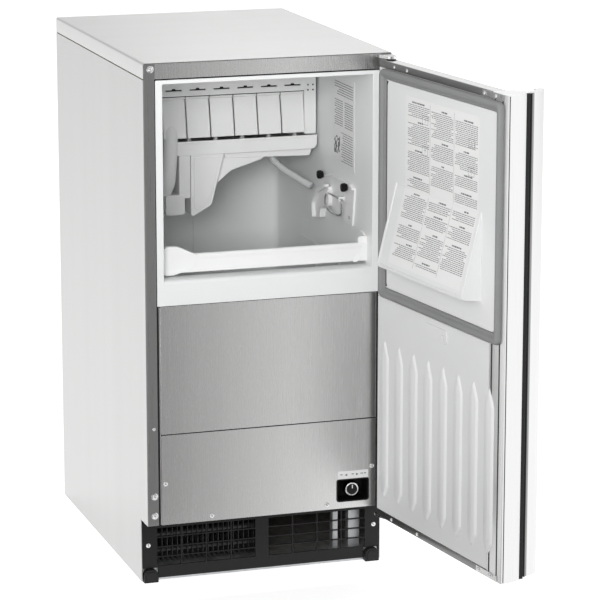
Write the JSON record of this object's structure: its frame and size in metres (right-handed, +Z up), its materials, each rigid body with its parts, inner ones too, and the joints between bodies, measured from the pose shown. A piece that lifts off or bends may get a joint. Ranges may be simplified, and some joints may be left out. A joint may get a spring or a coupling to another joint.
{
  "type": "ice maker",
  "caption": "Upright under-counter ice maker: stainless cabinet with a storage bin, a curtain of hinged ice flaps, a toe grille and a side-hinged insulated door standing open.",
  "frame": {"origin": "on the floor at the centre of the cabinet footprint, on the base frame's underside plane", "axes": "+X to the machine's right seen from the front, +Y from the front to the back, +Z up"},
  "size_m": [0.4773, 0.9316, 0.791],
  "materials": {
    "cabinet_steel": "satin brushed stainless sheet of the casing",
    "front_steel": "satin brushed stainless sheet of the front",
    "frame_steel": "darker satin stainless edge frame",
    "white_liner": "satin moulded white plastic",
    "white_plastic": "moulded white plastic",
    "grey_panel": "light grey moulded plastic sheet",
    "gasket_rubber": "grey soft rubber",
    "black_plastic": "matte black moulded plastic",
    "aluminium_trim": "satin anodised aluminium",
    "steel_hardware": "bright plated steel",
    "galvanised_steel": "satin galvanised sheet",
    "black_paint": "satin black paint",
    "copper": "satin copper",
    "tinned_copper": "satin tinned copper",
    "foam": "matte rigid foam",
    "label_card": "matte printed card",
    "rubber_black": "matte black rubber"
  },
  "bodies": {
    "cabinet": {"left_side_panel": "cabinet_steel", "right_side_panel": "cabinet_steel", "rear_panel": "galvanised_steel", "top_panel": "cabinet_steel", "front_frame": "frame_steel", "base_frame": "galvanised_steel", "front_feet": "rubber_black", "toe_kick_grille": "black_plastic", "bin_liner": "white_liner", "bin_insulation": "foam", "upper_fascia": "front_steel", "lower_front_panel": "front_steel", "control_box": "black_plastic", "cabinet_screws": "steel_hardware", "cabinet_labels": "label_card", "evaporator_housing": "white_plastic", "slat_rod": "steel_hardware", "evaporator_plate": "tinned_copper", "water_tray": "white_plastic", "spray_bar": "white_plastic", "pump_housing": "white_plastic", "pump_hose": "white_plastic", "bin_control_bracket": "white_plastic", "thumb_screws": "black_plastic", "sensor_tube": "white_plastic", "condenser_coil": "black_paint", "fan_shroud": "galvanised_steel", "fan_motor": "black_paint", "compressor": "black_paint", "compressor_grommets": "rubber_black", "refrigerant_lines": "copper", "water_inlet_valve": "white_plastic", "drain_pipe": "white_plastic", "power_inlet_gland": "black_plastic", "hinge_brackets": "steel_hardware"},
    "door": {"door_outer_skin": "cabinet_steel", "door_insulation": "foam", "door_handle": "aluminium_trim", "handle_insert": "black_plastic", "door_channels": "front_steel", "hinge_bushings": "black_plastic", "door_gasket": "gasket_rubber", "upper_inner_panel": "grey_panel", "ice_deflector": "grey_panel", "instruction_sheet": "label_card", "lower_inner_panel": "grey_panel", "catch_cover": "grey_panel", "door_screws": "steel_hardware"},
    "gate": {"bin_gate": "white_plastic"},
    "bin_switch": {"bin_switch_wire": "steel_hardware"},
    "knob": {"control_knob": "steel_hardware"},
    "fan": {"condenser_fan": "black_plastic"},
    "impeller": {"pump_impeller": "white_plastic"},
    "slat_1": {"curtain_slat_1": "white_plastic"},
    "slat_2": {"curtain_slat_2": "white_plastic"},
    "slat_3": {"curtain_slat_3": "white_plastic"},
    "slat_4": {"curtain_slat_4": "white_plastic"},
    "slat_5": {"curtain_slat_5": "white_plastic"},
    "slat_6": {"curtain_slat_6": "white_plastic"},
    "slat_7": {"curtain_slat_7": "white_plastic"}
  },
  "joints": [
    {"name": "door_hinge", "type": "hinge", "parent": "cabinet", "child": "door", "pos_m": [0.17985, -0.28617, 0.3945], "axis": [0, 0, 1], "range_deg": [-98, 17]},
    {"name": "slat_1_hinge", "type": "hinge", "parent": "cabinet", "child": "slat_1", "pos_m": [0, -0.003, 0.6935], "axis": [1, 0, 0], "range_deg": [-60, 0]},
    {"name": "slat_2_hinge", "type": "hinge", "parent": "cabinet", "child": "slat_2", "pos_m": [0, -0.003, 0.6935], "axis": [1, 0, 0], "range_deg": [-60, 0]},
    {"name": "slat_3_hinge", "type": "hinge", "parent": "cabinet", "child": "slat_3", "pos_m": [0, -0.003, 0.6935], "axis": [1, 0, 0], "range_deg": [-60, 0]},
    {"name": "slat_4_hinge", "type": "hinge", "parent": "cabinet", "child": "slat_4", "pos_m": [0, -0.003, 0.6935], "axis": [1, 0, 0], "range_deg": [-60, 0]},
    {"name": "slat_5_hinge", "type": "hinge", "parent": "cabinet", "child": "slat_5", "pos_m": [0, -0.003, 0.6935], "axis": [1, 0, 0], "range_deg": [-60, 0]},
    {"name": "slat_6_hinge", "type": "hinge", "parent": "cabinet", "child": "slat_6", "pos_m": [0, -0.003, 0.6935], "axis": [1, 0, 0], "range_deg": [-60, 0]},
    {"name": "slat_7_hinge", "type": "hinge", "parent": "cabinet", "child": "slat_7", "pos_m": [0, -0.003, 0.6935], "axis": [1, 0, 0], "range_deg": [-60, 0]},
    {"name": "gate_hinge", "type": "hinge", "parent": "cabinet", "child": "gate", "pos_m": [0, -0.197, 0.494], "axis": [1, 0, 0], "range_deg": [-70, 0]},
    {"name": "bin_switch_pivot", "type": "hinge", "parent": "cabinet", "child": "bin_switch", "pos_m": [0.15, -0.098, 0.5455], "axis": [0, 1, 0], "range_deg": [0, 15], "stiffness_Nm_per_rad": 0.01},
    {"name": "knob_turn", "type": "hinge", "parent": "cabinet", "child": "knob", "pos_m": [0.131, -0.253, 0.127], "axis": [0, -1, 0], "range_deg": [-45, 45]},
    {"name": "fan_spin", "type": "hinge", "parent": "cabinet", "child": "fan", "pos_m": [-0.075, -0.163, 0.104], "axis": [0, 1, 0], "continuous": true},
    {"name": "impeller_spin", "type": "hinge", "parent": "cabinet", "child": "impeller", "pos_m": [-0.03, 0.018, 0.5555], "axis": [0, 0, 1], "continuous": true}
  ]
}
